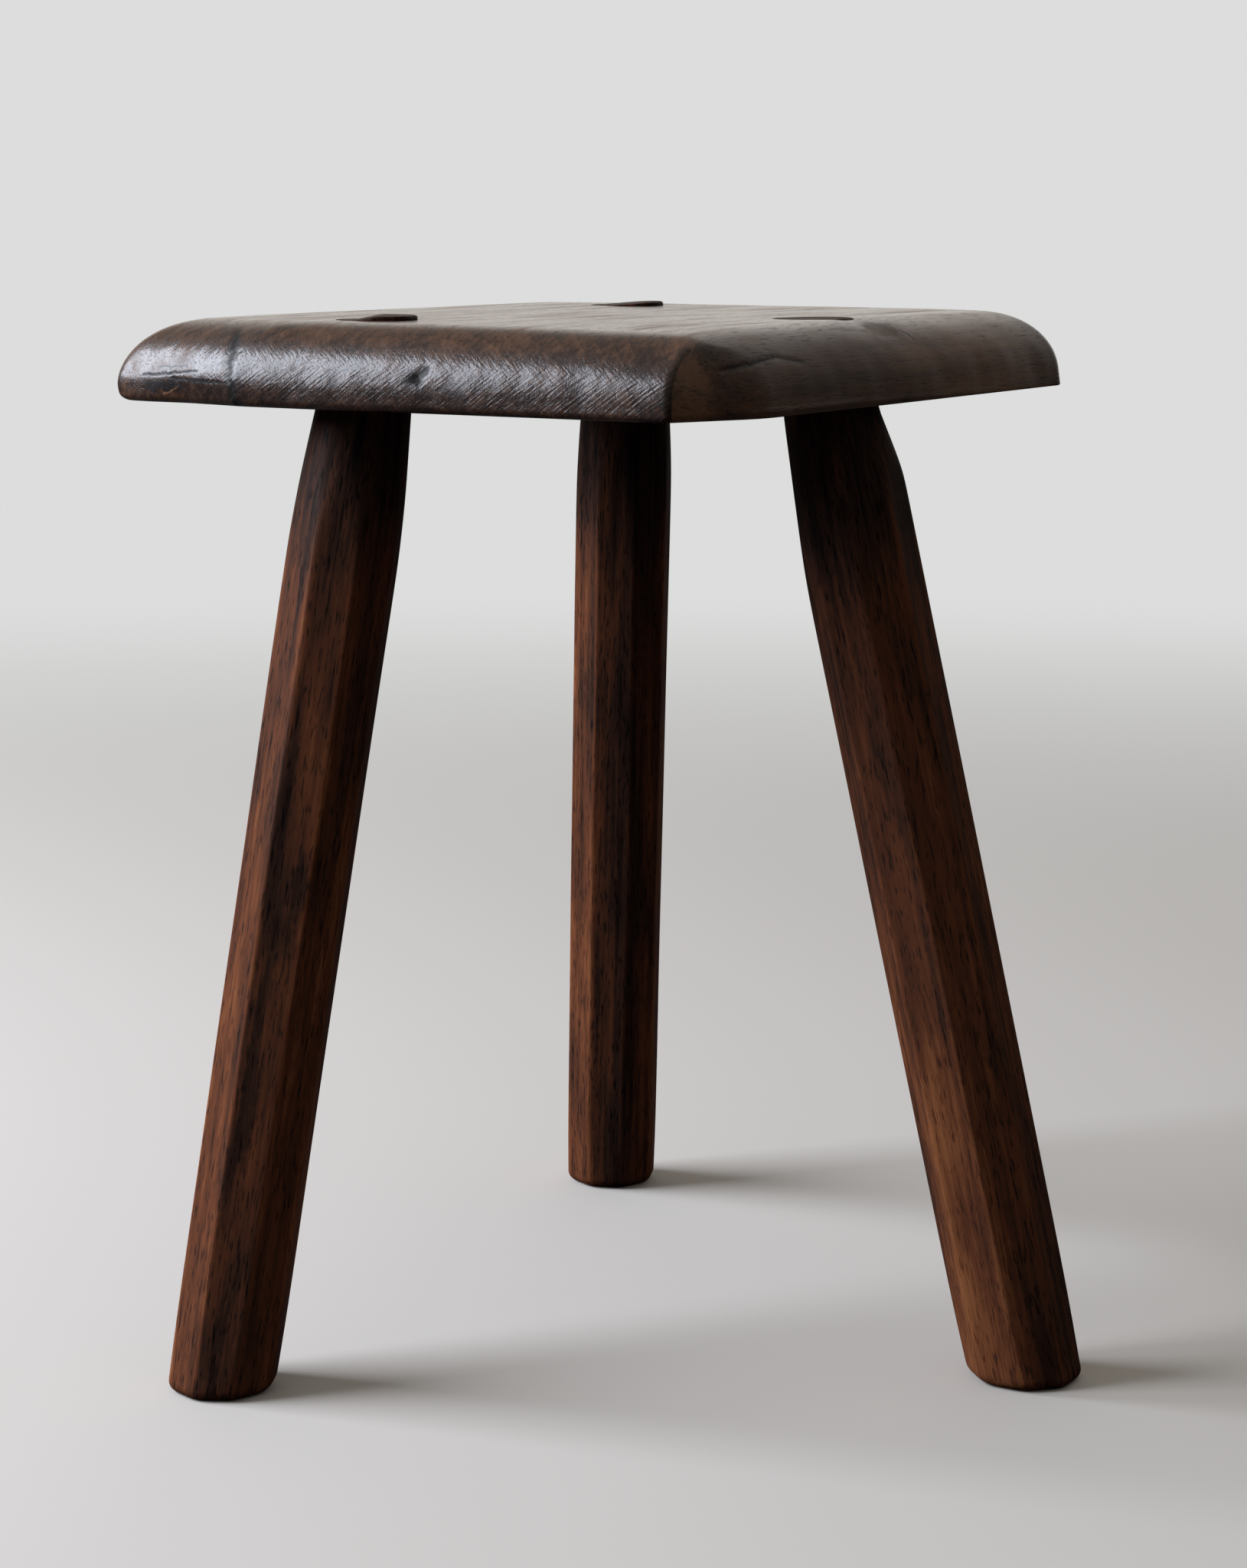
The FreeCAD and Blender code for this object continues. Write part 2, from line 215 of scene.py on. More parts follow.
def seat_outline(inset):
    """The seat's plan at each inset (rows, sides): each side moved in by its inset, each corner eased
    by a parabola between points a tangent length either side of it. Gives points, side numbers as
    fractions along each side, and the outward direction of the side that each point belongs to."""
    corners = np.array([
        (SEAT_LEFT, SEAT_FRONT + LEFT_SWEEP_Y),
        (SEAT_LEFT + LEFT_SWEEP_X, SEAT_FRONT),
        (SEAT_RIGHT - NEAR_CLIP_X, SEAT_FRONT),
        (SEAT_RIGHT, SEAT_FRONT + NEAR_CLIP_Y),
        (SEAT_RIGHT, SEAT_REAR),
        (SEAT_LEFT + REAR_LEFT_INSET, SEAT_REAR),
    ])
    # Points along each side stand this far apart, closest on the sides in view
    spacing = np.array([1.1, 1.1, 1.1, 1.3, 2.4, 2.4])
    run = np.roll(corners, -1, axis=0) - corners
    length = np.linalg.norm(run, axis=1)
    out = np.stack([run[:, 1], -run[:, 0]], axis=1) / length[:, None]
    reach = np.sum(out * corners, axis=1) - inset
    before = np.roll(out, 1, axis=0)
    reach_before = np.roll(reach, 1, axis=1)
    across = before[:, 0] * out[:, 1] - before[:, 1] * out[:, 0]
    x = (reach_before * out[:, 1] - reach * before[:, 1]) / across
    y = (reach * before[:, 0] - reach_before * out[:, 0]) / across
    corner = np.stack([x, y], axis=-1)
    bend = np.arccos(np.clip(np.sum(before * out, axis=1), -1, 1))
    beside = np.linalg.norm(np.roll(corner, -1, axis=1) - corner, axis=-1)
    room = 0.48 * np.minimum(beside, np.roll(beside, 1, axis=1))
    tangent = np.minimum(CORNER_EASES * np.tan(bend / 2), room)[..., None]
    leave = corner + tangent * run / length[:, None]
    enter = corner - tangent * np.roll(run / length[:, None], 1, axis=0)
    points, side, facing = [], [], []
    for number in range(len(corners)):
        follow = (number + 1) % len(corners)
        t = np.linspace(0, 1, 9)[:-1][None, :, None]
        a, b, c = (p[:, number, None, :] for p in (enter, corner, leave))
        points.append((1 - t) ** 2 * a + 2 * t * (1 - t) * b + t * t * c)
        turn = out[number] * t[0] + before[number] * (1 - t[0])
        facing.append(turn / np.linalg.norm(turn, axis=1)[:, None])
        side.append(number - 0.001 + 0 * t[0, :, 0])
        count = int(length[number] / spacing[number])
        t = np.linspace(0, 1, count + 1)[:-1][None, :, None]
        points.append((1 - t) * leave[:, number, None, :] + t * enter[:, follow, None, :])
        facing.append(np.repeat(out[number][None], count, axis=0))
        side.append(number + 0.999 * t[0, :, 0])
    return np.concatenate(points, axis=1), np.concatenate(side), np.concatenate(facing)


def make_seat():
    """The plank: its outline at each row of a profile that goes out along the underside, round the
    lower arris, up the leaning side, over the roundover and in along the top. Rows inside the
    roundover shrink the outline towards the middle. The near corner's face is the soft greater of
    its own lean and of the place where the two sides beside it close in on it. Sines of a few tenths
    stand for planing and filing, and bells and grooves for wear: crease, crack, pits and hollow."""
    inner = np.linspace(0.03, 1.0, 14)[:-1]
    lower = np.linspace(-math.pi / 2, SIDE_SLOPE, 8)
    side = np.linspace(0, 1, 7)[1:-1]
    upper = np.linspace(SIDE_SLOPE, math.pi / 2, 41)
    top_in = np.linspace(1.0, 0.03, 34)[1:]

    def round_about(ease, level, angle):
        """Inset and height along a rounded edge that touches the leaning side."""
        centre = (level - SEAT_UNDER) * math.tan(SIDE_SLOPE) + ease / math.cos(SIDE_SLOPE)
        return centre - ease * np.cos(angle), level + ease * np.sin(angle)

    low_inset, low_height = round_about(LOWER_EASE, SEAT_UNDER + LOWER_EASE, lower)
    high_inset, high_height = round_about(TOP_ROUNDOVER, SEAT_TOP - TOP_ROUNDOVER, upper)
    side_inset = low_inset[-1] + (high_inset[0] - low_inset[-1]) * side
    side_height = low_height[-1] + (high_height[0] - low_height[-1]) * side
    edge = np.concatenate([
        np.full(inner.size, low_inset[0]), low_inset, side_inset, high_inset,
        np.full(top_in.size, high_inset[-1]),
    ])
    height = np.concatenate([
        np.full(inner.size, SEAT_UNDER), low_height, side_height, high_height,
        np.full(top_in.size, SEAT_TOP),
    ])
    shrink = np.concatenate([inner, np.ones(edge.size - inner.size - top_in.size), top_in])
    lifted = np.maximum(edge - high_inset[0], 0) * (height > SEAT_TOP - TOP_ROUNDOVER)
    inset = edge[:, None] + lifted[:, None] * (ROUNDOVER_REACH / TOP_ROUNDOVER - 1)
    # The sawn corner: it lies this far in from the square corner, and the sides close in on it
    hypotenuse = math.hypot(NEAR_CLIP_X, NEAR_CLIP_Y)
    depth = NEAR_CLIP_X * NEAR_CLIP_Y / hypotenuse
    closing = NEAR_CLIP_X * inset[:, NEAR_SIDE - 1] + NEAR_CLIP_Y * inset[:, RIGHT_SIDE]
    closing = closing / hypotenuse
    # The left side is worn round below
    inset[:, -1] += 2.0 * np.clip(1 - (height - SEAT_UNDER) / 6, 0, 1) ** 2
    leant = NEAR_WORN * ((height - SEAT_UNDER) / (SEAT_TOP - SEAT_UNDER)) ** 2
    # Soft greater of nought and how far the sides have closed in beyond the leaning face
    beyond = closing - depth - leant + 1.0
    inset[:, NEAR_SIDE] = leant + (beyond + np.sqrt(beyond ** 2 + 7.0)) / 2
    on_underside = (height < SEAT_UNDER + LOWER_EASE) * (edge - low_inset[-1])
    inset[:, NEAR_SIDE] += np.maximum(on_underside, 0)
    # The lower arris is crisper along the right and rear sides
    crisp_inset, crisp_height = round_about(CRISP_EASE, SEAT_UNDER + CRISP_EASE, lower)
    arris = slice(inner.size, inner.size + lower.size)
    inset[arris, RIGHT_SIDE:REAR_SIDE + 1] = crisp_inset[:, None]
    inset[:inner.size, RIGHT_SIDE:REAR_SIDE + 1] = crisp_inset[0]
    plan, side_number, facing = seat_outline(inset)
    middle = np.array([(SEAT_LEFT + SEAT_RIGHT) / 2, (SEAT_FRONT + SEAT_REAR) / 2])
    plan = middle + (plan - middle) * shrink[:, None, None]
    level = np.broadcast_to(height[:, None], plan.shape[:2]).copy()
    crisp = smooth(RIGHT_SIDE + 0.2, RIGHT_SIDE + 0.8, side_number)
    crisp = crisp * (1 - smooth(REAR_SIDE + 0.5, REAR_SIDE + 0.95, side_number))
    level[arris] += (crisp_height - low_height)[:, None] * crisp
    x, y = plan[..., 0], plan[..., 1]
    # Planing: long shallow waves on the top and underside, and a slight fall to the corners
    up = smooth(SEAT_TOP - TOP_ROUNDOVER, SEAT_TOP, level)
    flat = up * smooth(0.0, TOP_ROUNDOVER, edge)[:, None]
    reach = np.hypot(x - middle[0], y - middle[1])
    waves = 0.14 * ripple(x, y, [(61, 190), (37, 143), (97, 240)], 1.0) - 0.14
    level += flat * (waves - 0.4 * smooth(105, 155, reach))
    # The near corner is worn down above the saw cut, and the top falls away towards it
    level -= 1.2 * np.exp(-((x - 62) / 13) ** 2 - ((y + 113) / 11) ** 2) * smooth(308, 325, level)
    level -= 0.9 * smooth(-30, 50, x) * smooth(-70, -105, y) * smooth(308, 325, level)
    # A rough hollow in the right side's roundover
    rough = 0.4 + 0.14 * ripple(x, y, [(9, 11), (13, 17), (6, 23)], 3.0)
    bell = -((x - HOLLOW_X) / HOLLOW_REACH_X) ** 2 - ((y - HOLLOW_Y) / HOLLOW_REACH_Y) ** 2
    level -= rough * np.exp(bell) * up
    # The underside is planed too
    level += (1 - up) * (shrink < 1)[:, None] * 0.2 * (1 + ripple(x, y, [(53, 170), (41, 120)], 4.0))
    # Rasping and scraping: the sides and roundovers swell and dip by a few tenths
    along = side_number[None, :] * 100 + 0 * x
    work = (1 - smooth(0.0, TOP_ROUNDOVER, edge))[:, None] * (shrink >= 1)[:, None]
    swell = 0.22 * ripple(along, level, [(31, 40), (17, 33), (53, 60)], 2.0) - 0.28
    swell = swell + 0.06 * ripple(along, level, [(7, 60), (11, 25)], 5.0)
    # Crease: a rough groove down the front where its swept end begins
    on_front = (side_number < NEAR_SIDE)[None, :] * (shrink >= 1)[:, None]
    crease_x = np.interp(level, CREASE_Z, CREASE_X)
    crease_x = crease_x + 0.4 * np.sin(level * 1.3) + 0.3 * np.sin(level * 3.1)
    crease_width = np.interp(level, CREASE_WIDTH_Z, CREASE_WIDTH)
    creased = on_front * np.exp(-((x - crease_x) / crease_width) ** 2) * (1 - smooth(325, 329, level))
    # Crack: a groove along the right side from the sawn corner, thinning away from it
    on_right = ((side_number >= NEAR_SIDE) & (side_number < REAR_SIDE))[None, :]
    on_right = on_right * (shrink >= 1)[:, None]
    wide = np.interp(y, CRACK_Y, CRACK_WIDTH)
    cracked = on_right * np.exp(-((level - np.interp(y, CRACK_Y, CRACK_Z)) / wide) ** 2)
    cracked = cracked * smooth(CRACK_Y[0] - 1.5, CRACK_Y[0], y)
    cracked = cracked * (1 - smooth(CRACK_Y[-1] - 3, CRACK_Y[-1], y))
    # Pit: two small hollows side by side in the front
    pitted = sum(
        depth_in * np.exp(-((x - at_x) / PIT_REACH_X) ** 2 - ((level - at_z) / PIT_REACH_Z) ** 2)
        for at_x, at_z, depth_in in PITS
    ) * on_front
    # Wear: the front tucks under, most towards its left end
    over = level - SEAT_UNDER
    left_tuck = np.clip(1 - over / 14, 0, 1) ** 2 * (1 - smooth(-110, -55, x)) * smooth(-128, -110, x)
    front_tuck = np.clip(1 - over / 9, 0, 1) ** 2 * (1 - smooth(-20, 60, x))
    tucked = on_front * (2.4 * left_tuck + front_tuck)
    sunk = tucked + 0.3 * creased + 0.5 * wide * cracked + pitted
    plan = plan + (work * swell - sunk)[..., None] * facing[None]
    # Painted layers: file marks on the front's end grain, rasp marks towards the near corner, and
    # the corner's saw cut
    filed = on_front * smooth(-128, -92, x) * (1 - smooth(317, 328, level))
    rasped = on_front * smooth(0, 40, x) * (1 - smooth(316, 325, level))
    sawn = ((side_number >= NEAR_SIDE) & (side_number < RIGHT_SIDE))[None, :] * (shrink >= 1)[:, None]
    sawn = sawn * (1 - smooth(322, 327, level)) * (1 - smooth(0.35, 0.95, side_number - NEAR_SIDE))
    rings = np.concatenate([plan, level[..., None]], axis=-1)
    first = (*middle, level[0].mean())
    last = (*middle, level[-1].mean())
    # The wax thins towards the near corner, where the front is roughest
    open_grain = np.maximum(0.8 * creased, 0.3 * on_front * smooth(-120, 60, x))
    return closed_piece("seat_plank", rings, first, last, {
        "filed": filed, "rasped": rasped, "creased": creased, "sawn": sawn, "open_grain": open_grain,
    })


def make_mortise_cutter(leg):
    """A cone along a leg's axis through the seat: radius falls evenly with height."""
    base, turn, _ = leg_frame(leg)
    low, high = -60.0, 30.0
    rise = np.array([low, high])[:, None, None]
    angle = np.linspace(0, 2 * np.pi, 97)[:-1][None, :, None]
    radius = TENON_RADIUS - rise * TENON_SLOPE
    local = np.concatenate([radius * np.cos(angle), radius * np.sin(angle), rise + 0 * angle], axis=-1)
    ends = np.array([(0, 0, low), (0, 0, high)]) @ turn.T + base
    return closed_piece("mortise_cutter", local @ turn.T + base, ends[0], ends[1], {})


def make_slab(name, leg, gap):
    """A wedge's slab, or with a gap its saw cut: a tapering slab across the leg, lofted up its axis."""
    base, turn, _ = leg_frame(leg)
    rise = np.array([-WEDGE_LENGTH - gap, 25.0])
    slope = (WEDGE_THICKNESS - WEDGE_TIP) / 2 / WEDGE_LENGTH
    half = WEDGE_TIP / 2 + gap + (rise + WEDGE_LENGTH) * slope
    signs = np.array([(-1, -1), (1, -1), (1, 1), (-1, 1)], float)
    local = np.stack([
        np.repeat(signs[None, :, 0] * 2 * TENON_RADIUS, 2, axis=0),
        half[:, None] * signs[None, :, 1],
        np.repeat(rise[:, None], 4, axis=1),
    ], axis=-1)
    ends = np.stack([0 * rise, 0 * rise, rise], axis=-1) @ turn.T + base
    return closed_piece(name, local @ turn.T + base, ends[0], ends[1], {})


def make_leg(name, leg, seed):
    """A leg as rings up its axis. The radius at each angle is the soft least of eight flats and of the
    cone and shoulder that its head is shaved to, less a rounded ease at both ends. Rings are slanted
    so that the foot and the trimmed end lie level."""
    base, turn, _ = leg_frame(leg)
    lean = math.radians(leg["lean"])
    drop = SEAT_TOP / math.cos(lean)
    total = (SEAT_TOP + leg["proud"]) / math.cos(lean)
    flat_angle = np.radians(leg["twist"] + np.arange(FLATS) * 360 / FLATS)
    # Points crowd towards the arrises, which fall halfway between the flats
    t = np.linspace(-1, 1, FLAT_POINTS + 1)[:-1]
    spread = np.sign(t) * (1 - (1 - np.abs(t)) ** 1.7) * np.pi / FLATS
    angle = (flat_angle[:, None] + spread[None, :]).reshape(-1)
    curve = np.linspace(0, np.pi / 2, 9)
    foot_rise, foot_in = FOOT_EASE * (1 - np.cos(curve)), FOOT_EASE * (1 - np.sin(curve))
    head_rise, head_in = total - TENON_EASE * (1 - np.sin(curve)), TENON_EASE * (1 - np.cos(curve))
    shaft = np.linspace(FOOT_EASE, total - TENON_EASE, LEG_ROWS)[1:-1]
    cap_foot, cap_head = np.linspace(0.04, 1, 7)[:-1], np.linspace(1, 0.06, 7)[1:]
    rise = np.concatenate([0 * cap_foot, foot_rise, shaft, head_rise, total + 0 * cap_head])[:, None]
    inset = [FOOT_EASE + 0 * cap_foot, foot_in, 0 * shaft, head_in, TENON_EASE + 0 * cap_head]
    inset = np.concatenate(inset)[:, None]
    wall = np.ones(foot_rise.size + shaft.size + head_rise.size)
    shrink = np.concatenate([cap_foot, wall, cap_head])[:, None]

    to_right = 0.5 + 0.5 * np.cos(angle - YAW)
    gentle, steep = (math.tan(math.radians(slope)) for slope in leg["shoulder"])
    shoulder = gentle + (steep - gentle) * to_right

    def radius_at(up):
        """Soft least of the flats and the shaved head at a height up the axis from the foot."""
        half = (leg["foot"] + (leg["head"] - leg["foot"]) * up / drop)[..., None] / 2
        number = np.arange(FLATS)
        drawn = np.sin(up[..., None] / DRAW_LONG + number * 2.1 + seed)
        drawn = drawn + 0.5 * np.sin(up[..., None] / DRAW_SHORT + number * 3.7)
        reach = half + 0.1 * (drawn - 2.5) + 0.08 * (np.sin(number * 5.3 + seed * 2.7) - 1)
        facing = np.clip(np.cos(angle[None, :, None] - flat_angle), 0, None)
        crisp = CRISP_ARRIS - ARRIS_WEAR * (1 - smooth(0, WORN_HEIGHT, up))
        octagon = np.sum((facing / reach) ** crisp[..., None], axis=-1) ** (-1 / crisp)
        below = drop - up
        cone = TENON_RADIUS - JOINT_GAP + np.minimum(below, NECK) * TENON_SLOPE
        cone = cone + np.maximum(below - NECK, 0) * shoulder
        return (octagon ** -50 + cone ** -50) ** (-1 / 50), octagon, cone

    slant_x = turn[2, 0] * np.cos(angle) + turn[2, 1] * np.sin(angle)
    up = rise + 0 * angle
    # The saw trimmed the end aslant: it stands up on the camera's right and dies away to the left
    trimmed = smooth(total - 8, total - 2, rise)
    tall, dies, full = leg["end"]
    # Height and radius depend on each other, and settle in a few turns
    for _ in range(3):
        radius, octagon, cone = radius_at(up)
        radius = (radius - inset) * shrink
        up = rise - radius * slant_x / turn[2, 2]
        share_right = radius * np.cos(angle - YAW) / TENON_RADIUS
        stands = FLUSH + (tall - FLUSH) * smooth(dies, full, share_right)
        up = up - trimmed * (leg["proud"] - stands)
    local = np.stack([radius * np.cos(angle), radius * np.sin(angle), up - drop], axis=-1)
    ends = np.array([(0, 0, -drop), local[-1].mean(axis=0)]) @ turn.T + base
    # Wear shows pale along the arrises below the shaved head
    arris = smooth(0.55, 1.0, np.abs(t))[None, :].repeat(FLATS, axis=0).reshape(1, -1)
    worn = arris * smooth(0.0, 1.5, cone - octagon)
    return closed_piece(name, local @ turn.T + base, ends[0], ends[1], {"worn": worn})


def add(tree, kind, inputs=(), **settings):
    """Adds a node, applies its settings, and sets or links its inputs by name or number."""
    node = tree.nodes.new(kind)
    for label, setting in settings.items():
        setattr(node, label, setting)
    for label, source in dict(inputs).items():
        if isinstance(source, bpy.types.NodeSocket):
            tree.links.new(source, node.inputs[label])
        else:
            node.inputs[label].default_value = source
    return node


def stained_wood(
    name, place, turn, pith, ring, stops, contrast, polish, marks=(), cracks=(), painted=None,
):
    """Solid wood under dark stain and wax, as a pattern through the whole piece. place (mm) and turn
    set a frame whose Z runs along the grain. Rings of the given width (mm) circle a pith beside that
    axis, pores and fibres are drawn out along it, and blots of stain vary the tone; contrast is the
    share of blots, fibres, rings and pores. stops are the tone's colours from dark to light. polish
    is the least and most roughness, the shine, and the wax's weight and roughness. marks are knots,
    pits, stains, painted shade and painted light: centre and radii in mm, a change of tone, and how
    far they dull the wax. cracks are lines between two points, with a width in mm, a change of tone,
    and how steeply they fade along each axis, least into the wood. painted gives the change of tone
    for each painted layer."""
    material = bpy.data.materials.new(name)
    material.use_nodes = True
    tree = material.node_tree
    tree.nodes.clear()
    spot = add(tree, "ShaderNodeTexCoord").outputs["Object"]
    grain = add(tree, "ShaderNodeMapping", {
        "Vector": spot, "Location": [p * MM for p in place], "Rotation": turn, "Scale": (MM, MM, MM),
    }, vector_type="TEXTURE").outputs[0]
    offset = add(tree, VECTOR, {0: grain, 1: (*pith, 0)}, operation="SUBTRACT").outputs[0]
    stretch = {}
    for label, (_, share) in GRAIN.items():
        scaled = add(tree, VECTOR, {0: offset, 1: (1, 1, share)}, operation="MULTIPLY")
        stretch[label] = scaled.outputs[0]
    blots = add(tree, NOISE, {
        "Vector": stretch["blot"], "Scale": 1 / GRAIN["blot"][0], "Detail": 5.0, "Roughness": 0.6,
    }).outputs["Fac"]
    fibres = add(tree, NOISE, {
        "Vector": stretch["fibre"], "Scale": 1 / GRAIN["fibre"][0], "Detail": 2.0,
    }).outputs["Fac"]
    rings = add(tree, WAVE, {
        "Vector": stretch["fibre"], "Scale": WAVE_PERIOD / ring,
        "Distortion": 3.0, "Detail": 2.0, "Detail Scale": 0.8,
    }, wave_type="RINGS", rings_direction="Z", wave_profile="SAW").outputs["Fac"]
    pores = add(tree, NOISE, {
        "Vector": stretch["pore"], "Scale": 1 / GRAIN["pore"][0], "Detail": 1.0,
    }).outputs["Fac"]
    pores = add(tree, RANGE, {
        "Value": pores, 1: 0.56, 2: 0.68,
    }, interpolation_type="SMOOTHSTEP").outputs[0]
    tone = 0.5 - contrast[0] / 2 - contrast[1] / 2 - contrast[2] / 2
    for part, share in zip((blots, fibres, rings, pores), (*contrast[:3], -contrast[3])):
        tone = add(tree, MATH, {0: part, 1: share, 2: tone}, operation="MULTIPLY_ADD").outputs[0]
    height = add(tree, MATH, {0: pores, 1: -PORE_DEPTH, 2: 0.0}, operation="MULTIPLY_ADD").outputs[0]
    height = add(tree, MATH, {0: fibres, 1: FIBRE_HEIGHT, 2: height}, operation="MULTIPLY_ADD").outputs[0]
    # Bare wood: where the grain is open, the wax hasn't filled it
    bare = add(tree, PAINTED, attribute_name="open_grain").outputs["Fac"]
    for part, low, high, share in ((pores, 0.0, 1.0, 0.5), (blots, 0.44, 0.66, 0.55)):
        part = add(tree, RANGE, {"Value": part, 1: low, 2: high, 3: 0.0, 4: share}).outputs[0]
        bare = add(tree, MATH, {0: bare, 1: part}, operation="MAXIMUM").outputs[0]
    # Marks have ragged edges, and cracks wander
    wander = add(tree, NOISE, {"Vector": grain, "Scale": 1 / 4, "Detail": 2.0}).outputs["Color"]
    wander = add(tree, VECTOR, {0: wander, 1: (0.5, 0.5, 0.5)}, operation="SUBTRACT").outputs[0]
    ragged, jagged = (add(tree, VECTOR, {0: wander, 1: (size, size, size), 2: grain},
                          operation="MULTIPLY_ADD").outputs[0] for size in (5.0, 1.6))
    for centre, radii, change, dulled in marks:
        away = add(tree, VECTOR, {0: ragged, 1: centre}, operation="SUBTRACT").outputs[0]
        away = add(tree, VECTOR, {0: away, 1: radii}, operation="DIVIDE").outputs[0]
        away = add(tree, VECTOR, {0: away}, operation="LENGTH").outputs["Value"]
        mark = add(tree, RANGE, {
            "Value": away, 1: 1.0, 2: 0.4,
        }, interpolation_type="SMOOTHSTEP").outputs[0]
        tone = add(tree, MATH, {0: mark, 1: change, 2: tone}, operation="MULTIPLY_ADD").outputs[0]
        if dulled:
            mark = add(tree, MATH, {0: mark, 1: dulled}, operation="MULTIPLY").outputs[0]
            bare = add(tree, MATH, {0: bare, 1: mark}, operation="MAXIMUM").outputs[0]
    for start, end, width, change, flat in cracks:
        run = Vector(end) - Vector(start)
        away = add(tree, VECTOR, {0: jagged, 1: start}, operation="SUBTRACT").outputs[0]
        share = add(tree, VECTOR, {0: away, 1: run / run.length_squared}, operation="DOT_PRODUCT")
        share = add(tree, "ShaderNodeClamp", {"Value": share.outputs["Value"]}).outputs[0]
        foot = add(tree, VECTOR, {0: run, "Scale": share}, operation="SCALE").outputs[0]
        away = add(tree, VECTOR, {0: away, 1: foot}, operation="SUBTRACT").outputs[0]
        away = add(tree, VECTOR, {0: away, 1: flat}, operation="MULTIPLY").outputs[0]
        away = add(tree, VECTOR, {0: away}, operation="LENGTH").outputs["Value"]
        crack = add(tree, RANGE, {
            "Value": away, 1: width, 2: 0.0,
        }, interpolation_type="SMOOTHSTEP").outputs[0]
        tone = add(tree, MATH, {0: crack, 1: change, 2: tone}, operation="MULTIPLY_ADD").outputs[0]
        sunk = change * width * 0.12
        height = add(tree, MATH, {0: crack, 1: sunk, 2: height}, operation="MULTIPLY_ADD").outputs[0]
        open_crack = add(tree, MATH, {0: crack, 1: 1.3 * abs(change)}, operation="MULTIPLY").outputs[0]
        bare = add(tree, MATH, {0: bare, 1: open_crack}, operation="MAXIMUM").outputs[0]
    for label, change in (painted or {}).items():
        share = add(tree, PAINTED, attribute_name=label).outputs["Fac"]
        tone = add(tree, MATH, {0: share, 1: change, 2: tone}, operation="MULTIPLY_ADD").outputs[0]
    # Filing: scratches across the front's end grain both ways, and a rasp's even teeth near its end
    filed = add(tree, PAINTED, attribute_name="filed").outputs["Fac"]
    rasped = add(tree, PAINTED, attribute_name="rasped").outputs["Fac"]
    patchy = add(tree, RANGE, {"Value": blots, 1: 0.4, 2: 0.62, 3: 0.09, 4: 0.19}).outputs[0]
    filed = add(tree, MATH, {0: filed, 1: patchy}, operation="MULTIPLY").outputs[0]
    for slope, share in ((-54, 0.85), (-126, 1.0)):
        laid = add(tree, "ShaderNodeMapping", {
            "Vector": spot, "Rotation": (0, math.radians(slope), 0), "Scale": [s * MM for s in SCRATCH],
        }, vector_type="TEXTURE").outputs[0]
        scratch = add(tree, NOISE, {"Vector": laid, "Scale": 1.0, "Detail": 2.0}).outputs["Fac"]
        scratch = add(tree, MATH, {0: scratch, 1: share}, operation="MULTIPLY").outputs[0]
        height = add(tree, MATH, {0: scratch, 1: filed, 2: height}, operation="MULTIPLY_ADD").outputs[0]
    teeth = add(tree, WAVE, {
        "Vector": laid, "Scale": WAVE_PERIOD / TOOTH_SPACING,
        "Distortion": 2.0, "Detail": 2.0, "Detail Scale": 0.6,
    }, wave_type="BANDS", bands_direction="X").outputs["Fac"]
    teeth = add(tree, MATH, {0: teeth, 1: rasped}, operation="MULTIPLY").outputs[0]
    height = add(tree, MATH, {0: teeth, 1: TOOTH_HEIGHT, 2: height}, operation="MULTIPLY_ADD").outputs[0]
    ramp = add(tree, "ShaderNodeValToRGB", {"Fac": tone})
    elements = ramp.color_ramp.elements
    while len(elements) < len(stops):
        elements.new(0.5)
    for number, colour in enumerate(stops):
        elements[number].position = number / (len(stops) - 1)
        elements[number].color = linear(colour)
    # Open grain, cracks and pores take no polish
    least, most, shine, wax, wax_rough = polish
    dull = add(tree, RANGE, {"Value": fibres, 1: 0.3, 2: 0.7, 3: least, 4: most}).outputs[0]
    dull = add(tree, MATH, {0: dull, 1: bare}, operation="MAXIMUM").outputs[0]
    waxed = add(tree, RANGE, {"Value": bare, 3: wax, 4: 0.0}).outputs[0]
    relief = add(tree, "ShaderNodeBump", {"Height": height, "Strength": 1.0, "Distance": MM}).outputs[0]
    shader = add(tree, "ShaderNodeBsdfPrincipled", {
        "Base Color": ramp.outputs["Color"], "Roughness": dull, "IOR": FINISH_IOR,
        "Specular IOR Level": shine, "Normal": relief, "Coat Weight": waxed,
        "Coat Roughness": wax_rough, "Coat IOR": FINISH_IOR, "Coat Normal": relief,
    })
    add(tree, "ShaderNodeOutputMaterial", {"Surface": shader.outputs[0]})
    return material


def finish_piece(piece, node, material):
    """Rides a piece on the stool, in place of its CAD node, with its finish."""
    piece.data.materials.clear()
    piece.data.materials.append(material)
    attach(piece, "root")
    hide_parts(node)


SEAT_BROWNS = ("#130b08", "#3a251b", "#65452f", "#8c6346")
LEG_BROWNS = ("#1e1614", "#4b3228", "#7e4b33", "#b07048")
END_BROWNS = ("#0e0806", "#1e130e", "#33211a", "#4a3226")

